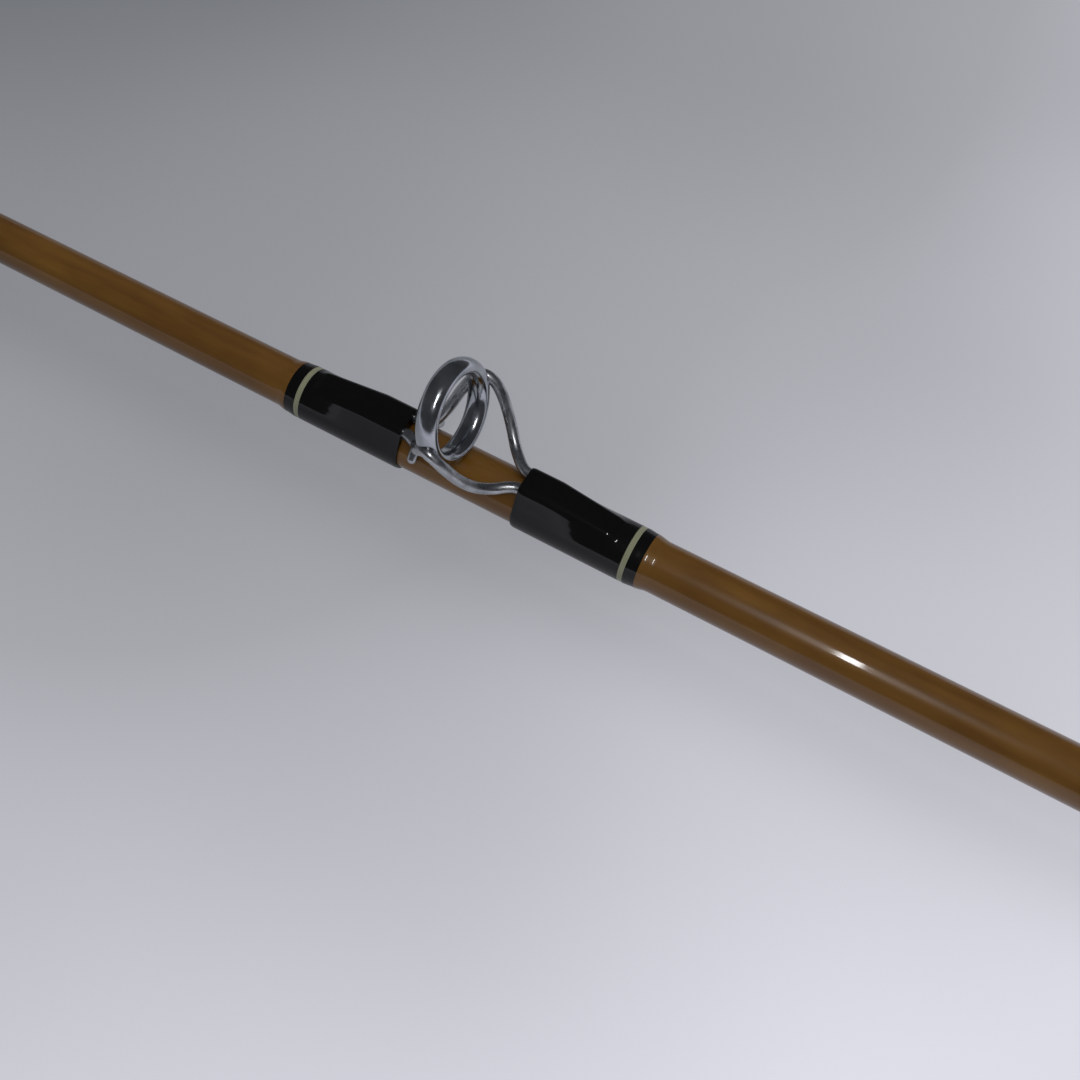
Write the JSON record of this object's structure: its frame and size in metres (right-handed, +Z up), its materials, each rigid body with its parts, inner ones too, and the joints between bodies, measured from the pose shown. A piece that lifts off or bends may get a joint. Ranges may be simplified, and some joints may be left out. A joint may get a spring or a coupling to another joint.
{
  "type": "fishing rod and reel",
  "caption": "Two-piece glass-fibre boat rod with chromed wire guides on dark thread wraps, cork handle, screw-locked reel seat and a star-drag reel.",
  "frame": {"origin": "centre of the butt cap's end face", "axes": "+X along the rod towards the tip, +Z up with the guides and the reel on top, +Y to the angler's left"},
  "size_m": [1.8335, 0.1084, 0.1065],
  "materials": {
    "lacquered_fibreglass": "honey-brown fibreglass under clear lacquer",
    "bare_fibreglass": "sanded solid fibreglass",
    "black_rubber": "moulded rubber",
    "cork": "sanded cork rings",
    "fibre_bushing": "pressed fibre",
    "anodised_seat": "black anodised",
    "black_thread": "nylon thread under clear epoxy",
    "pale_thread": "nylon thread under clear epoxy",
    "chromed_wire": "chromed steel wire",
    "hard_chrome": "hard chrome, polished",
    "reel_chrome": "bright chrome plate",
    "steel": "machined stainless steel",
    "black_plate": "moulded hard plastic",
    "spool_alloy": "turned and clear anodised",
    "gear_brass": "cut brass",
    "drag_leather": "oiled",
    "knob_plastic": "moulded"
  },
  "bodies": {
    "rod": {"butt_blank": "lacquered_fibreglass", "ferrule_spigot": "bare_fibreglass", "butt_cap": "black_rubber", "rear_grip": "cork", "seat_arbor": "fibre_bushing", "reel_seat": "anodised_seat", "fixed_hood": "anodised_seat", "fore_grip": "cork", "winding_check": "anodised_seat", "hook_keeper": "chromed_wire", "butt_wraps": "black_thread", "butt_trim_bands": "pale_thread", "guide_1_frame": "chromed_wire", "guide_1_ring": "hard_chrome", "guide_1_wraps": "black_thread", "reel_foot": "reel_chrome", "left_ring": "reel_chrome", "right_ring": "reel_chrome", "frame_posts": "reel_chrome", "plate_screws": "steel", "bridge_plate": "steel", "right_plate": "black_plate", "left_plate": "black_plate", "left_bearing_cap": "reel_chrome", "right_bearing_cap": "reel_chrome", "spool_bearings": "steel"},
    "tip_section": {"tip_blank": "lacquered_fibreglass", "tip_wraps": "black_thread", "tip_trim_bands": "pale_thread", "guide_2_frame": "chromed_wire", "guide_2_ring": "hard_chrome", "guide_2_wraps": "black_thread", "guide_3_frame": "chromed_wire", "guide_3_ring": "hard_chrome", "guide_3_wraps": "black_thread", "guide_4_frame": "chromed_wire", "guide_4_ring": "hard_chrome", "guide_4_wraps": "black_thread", "guide_5_frame": "chromed_wire", "guide_5_ring": "hard_chrome", "guide_5_wraps": "black_thread", "tip_top_frame": "chromed_wire", "tip_top_ring": "hard_chrome"},
    "hood": {"sliding_hood": "anodised_seat"},
    "nut": {"lock_nut": "anodised_seat"},
    "spool": {"spool": "spool_alloy", "spool_shaft": "steel", "click_gear": "steel"},
    "crank": {"crank_arm": "reel_chrome", "gear_sleeve": "steel", "drive_gear": "gear_brass", "drag_washers": "drag_leather", "handle_nut": "reel_chrome", "knob_spindle": "steel"},
    "star": {"star_drag": "reel_chrome"},
    "knob": {"crank_knob": "knob_plastic"},
    "lever": {"free_spool_lever": "reel_chrome"},
    "yoke": {"pinion_yoke": "steel"},
    "pinion": {"pinion_gear": "gear_brass"},
    "clicker": {"click_button": "knob_plastic"}
  },
  "joints": [
    {"name": "spool_spin", "type": "hinge", "parent": "rod", "child": "spool", "pos_m": [0.294, 0, 0.0498], "axis": [0, 1, 0], "continuous": true},
    {"name": "crank_turn", "type": "hinge", "parent": "rod", "child": "crank", "pos_m": [0.294, 0, 0.0342], "axis": [0, 1, 0], "continuous": true},
    {"name": "star_turn", "type": "hinge", "parent": "crank", "child": "star", "pos_m": [0.294, 0, 0.0342], "axis": [0, 1, 0], "range_deg": [0, 330]},
    {"name": "knob_spin", "type": "hinge", "parent": "crank", "child": "knob", "pos_m": [0.332, 0, 0.0342], "axis": [0, 1, 0], "continuous": true},
    {"name": "lever_turn", "type": "hinge", "parent": "rod", "child": "lever", "pos_m": [0.28386, 0, 0.07155], "axis": [0, 1, 0], "range_deg": [0, 50]},
    {"name": "yoke_slide", "type": "slide", "parent": "rod", "child": "yoke", "axis": [0, -1, 0], "range_m": [0, 0.0025]},
    {"name": "pinion_spin", "type": "hinge", "parent": "yoke", "child": "pinion", "pos_m": [0.294, 0, 0.0498], "axis": [0, 1, 0], "continuous": true},
    {"name": "click_slide", "type": "slide", "parent": "rod", "child": "clicker", "axis": [0, 0, -1], "range_m": [0, 0.004]},
    {"name": "nut_turn", "type": "hinge", "parent": "hood", "child": "nut", "pos_m": [0.3468, 0, 0], "axis": [1, 0, 0], "range_deg": [0, 2160]},
    {"name": "hood_slide", "type": "slide", "parent": "rod", "child": "hood", "axis": [1, 0, 0], "range_m": [0, 0.012]},
    {"name": "ferrule_slide", "type": "slide", "parent": "rod", "child": "tip_section", "axis": [1, 0, 0], "range_m": [0, 0.06]}
  ],
  "couplings": [
    {"joint": "crank_turn", "follows": "spool_spin", "ratio": -0.33333},
    {"joint": "pinion_spin", "follows": "spool_spin", "ratio": 1},
    {"joint": "yoke_slide", "follows": "lever_turn", "m_per_rad": 0.0028647},
    {"joint": "hood_slide", "follows": "nut_turn", "m_per_rad": 0.00031831}
  ]
}
